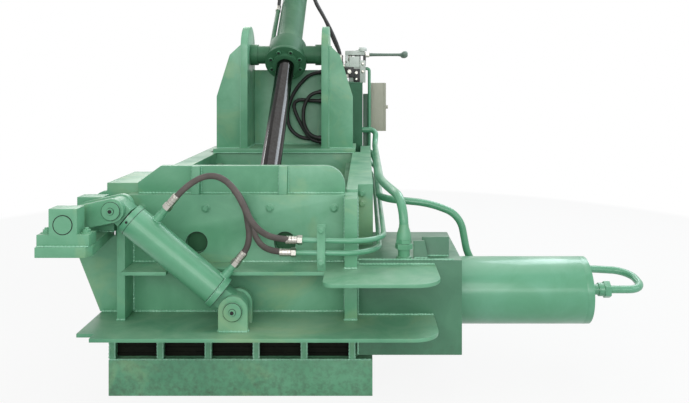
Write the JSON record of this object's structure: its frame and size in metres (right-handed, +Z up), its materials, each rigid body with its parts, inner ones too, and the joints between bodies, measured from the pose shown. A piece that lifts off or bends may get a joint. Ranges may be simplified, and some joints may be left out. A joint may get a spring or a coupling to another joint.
{
  "type": "recycling baler",
  "caption": "Hydraulic scrap-metal baler with a folding press lid on an overhead cylinder, two horizontal rams, a turn-out tray with its own cylinder, and a power unit at the back.",
  "frame": {"origin": "on the ground under the centre of the press chamber, on the underside of the base's cross member", "axes": "+Z up, +X towards the side ram's cylinder, +Y from the turn-out gear at the front to the power unit at the back"},
  "size_m": [2.034, 3.07, 1.6868],
  "materials": {
    "paint_green": "semi-gloss machine enamel with grime and worn edges",
    "chrome_rod": "polished hard chrome",
    "bright_steel": "machined steel",
    "wear_steel": "scraped wear plate with rust",
    "hose_rubber": "fabric-covered hydraulic hose",
    "valve_metal": "silver-painted casting",
    "cabinet_paint": "pale enamel",
    "motor_paint": "blue-grey enamel",
    "knob_plastic": "moulded plastic"
  },
  "bodies": {
    "machine": {"base_frame": "paint_green", "floor_liner": "wear_steel", "front_plate": "paint_green", "front_liner": "paint_green", "front_arch": "paint_green", "hex_bolts": "bright_steel", "left_wall": "paint_green", "right_wall": "paint_green", "back_wall": "paint_green", "mid_shelf": "paint_green", "lower_shelf": "paint_green", "front_ribs": "paint_green", "lower_ribs": "paint_green", "side_ram_box": "paint_green", "side_barrel": "paint_green", "side_end_cap": "paint_green", "main_ram_box": "paint_green", "main_barrel": "paint_green", "main_end_cap": "paint_green", "tower_base": "paint_green", "tower_ears": "paint_green", "tower_wings": "paint_green", "bearing_table": "paint_green", "bearing_blocks": "paint_green", "clevis_pin": "bright_steel", "oil_tank": "paint_green", "power_frame": "paint_green", "pump_motor": "motor_paint", "hydraulic_pump": "valve_metal", "valve_body": "valve_metal", "cabinet_box": "cabinet_paint", "turn_pipes": "paint_green", "pipe_clamp": "paint_green", "thick_pipe": "paint_green", "side_pipe": "paint_green", "tower_hoses": "hose_rubber", "lid_hinge_pins": "bright_steel", "turn_hose_rod": "hose_rubber", "turn_hose_cap": "hose_rubber", "lid_hose_rod": "hose_rubber", "lid_hose_cap": "hose_rubber"},
    "lid": {"lid_frame": "paint_green", "lid_pin": "bright_steel"},
    "lid_barrel": {"lid_barrel": "paint_green", "lid_gland": "paint_green"},
    "lid_rod": {"lid_rod": "chrome_rod"},
    "main_ram": {"main_ram_head": "paint_green", "main_rod": "chrome_rod"},
    "side_ram": {"side_ram_head": "paint_green", "side_rod": "chrome_rod"},
    "tray": {"turn_tray": "wear_steel", "tray_shaft": "bright_steel", "turn_lever": "paint_green"},
    "turn_barrel": {"turn_barrel": "paint_green"},
    "turn_rod": {"turn_rod": "chrome_rod"},
    "hand_lever_1": {"hand_lever_1": "knob_plastic"},
    "hand_lever_2": {"hand_lever_2": "knob_plastic"},
    "hand_lever_3": {"hand_lever_3": "knob_plastic"},
    "hand_lever_4": {"hand_lever_4": "knob_plastic"},
    "cabinet_door": {"cabinet_door": "cabinet_paint"}
  },
  "joints": [
    {"name": "lid_hinge", "type": "hinge", "parent": "machine", "child": "lid", "pos_m": [0, 0.545, 0.59], "axis": [-1, 0, 0], "range_deg": [0, 70]},
    {"name": "lid_barrel_hinge", "type": "hinge", "parent": "machine", "child": "lid_barrel", "pos_m": [0, 0.725, 1.183], "axis": [-1, 0, 0], "range_deg": [0, 33.56], "deforming": ["lid_hose_rod", "lid_hose_cap"]},
    {"name": "lid_rod_slide", "type": "slide", "parent": "lid_barrel", "child": "lid_rod", "axis": [0, 0.7901, 0.613], "range_m": [0, 0.5908]},
    {"name": "tray_hinge", "type": "hinge", "parent": "machine", "child": "tray", "pos_m": [-0.481, -0.45, 0.624], "axis": [0, -1, 0], "range_deg": [0, 100.05]},
    {"name": "turn_barrel_hinge", "type": "hinge", "parent": "machine", "child": "turn_barrel", "pos_m": [0.005, -0.802, 0.336], "axis": [0, -1, 0], "range_deg": [0, 3.14], "deforming": ["turn_hose_rod", "turn_hose_cap"]},
    {"name": "turn_rod_slide", "type": "slide", "parent": "turn_barrel", "child": "turn_rod", "axis": [-0.7696, 0, 0.6386], "range_m": [0, 0.1699]},
    {"name": "main_ram_slide", "type": "slide", "parent": "machine", "child": "main_ram", "axis": [0, -1, 0], "range_m": [0, 0.895]},
    {"name": "side_ram_slide", "type": "slide", "parent": "machine", "child": "side_ram", "axis": [-1, 0, 0], "range_m": [0, 0.398]},
    {"name": "hand_lever_1_hinge", "type": "hinge", "parent": "machine", "child": "hand_lever_1", "pos_m": [0.432, 1.01, 1.195], "axis": [0, 1, 0], "range_deg": [-20, 20], "stiffness_Nm_per_rad": 60},
    {"name": "hand_lever_2_hinge", "type": "hinge", "parent": "machine", "child": "hand_lever_2", "pos_m": [0.432, 1.052, 1.195], "axis": [0, 1, 0], "range_deg": [-20, 20], "stiffness_Nm_per_rad": 60},
    {"name": "hand_lever_3_hinge", "type": "hinge", "parent": "machine", "child": "hand_lever_3", "pos_m": [0.432, 1.094, 1.195], "axis": [0, 1, 0], "range_deg": [-20, 20], "stiffness_Nm_per_rad": 60},
    {"name": "hand_lever_4_hinge", "type": "hinge", "parent": "machine", "child": "hand_lever_4", "pos_m": [0.432, 1.136, 1.195], "axis": [0, 1, 0], "range_deg": [-20, 20], "stiffness_Nm_per_rad": 60},
    {"name": "cabinet_door_hinge", "type": "hinge", "parent": "machine", "child": "cabinet_door", "pos_m": [0.533, 1.487, 0.887], "axis": [0, 0, 1], "range_deg": [0, 110]}
  ],
  "couplings": [
    {"joint": "lid_barrel_hinge", "follows": "lid_hinge", "ratio": 0.47917},
    {"joint": "lid_rod_slide", "follows": "lid_hinge", "m_per_rad": 0.4833},
    {"joint": "tray_hinge", "follows": "lid_hinge", "ratio": 1.4286},
    {"joint": "turn_barrel_hinge", "follows": "lid_hinge", "ratio": 0.04459},
    {"joint": "turn_rod_slide", "follows": "lid_hinge", "m_per_rad": 0.13891}
  ]
}
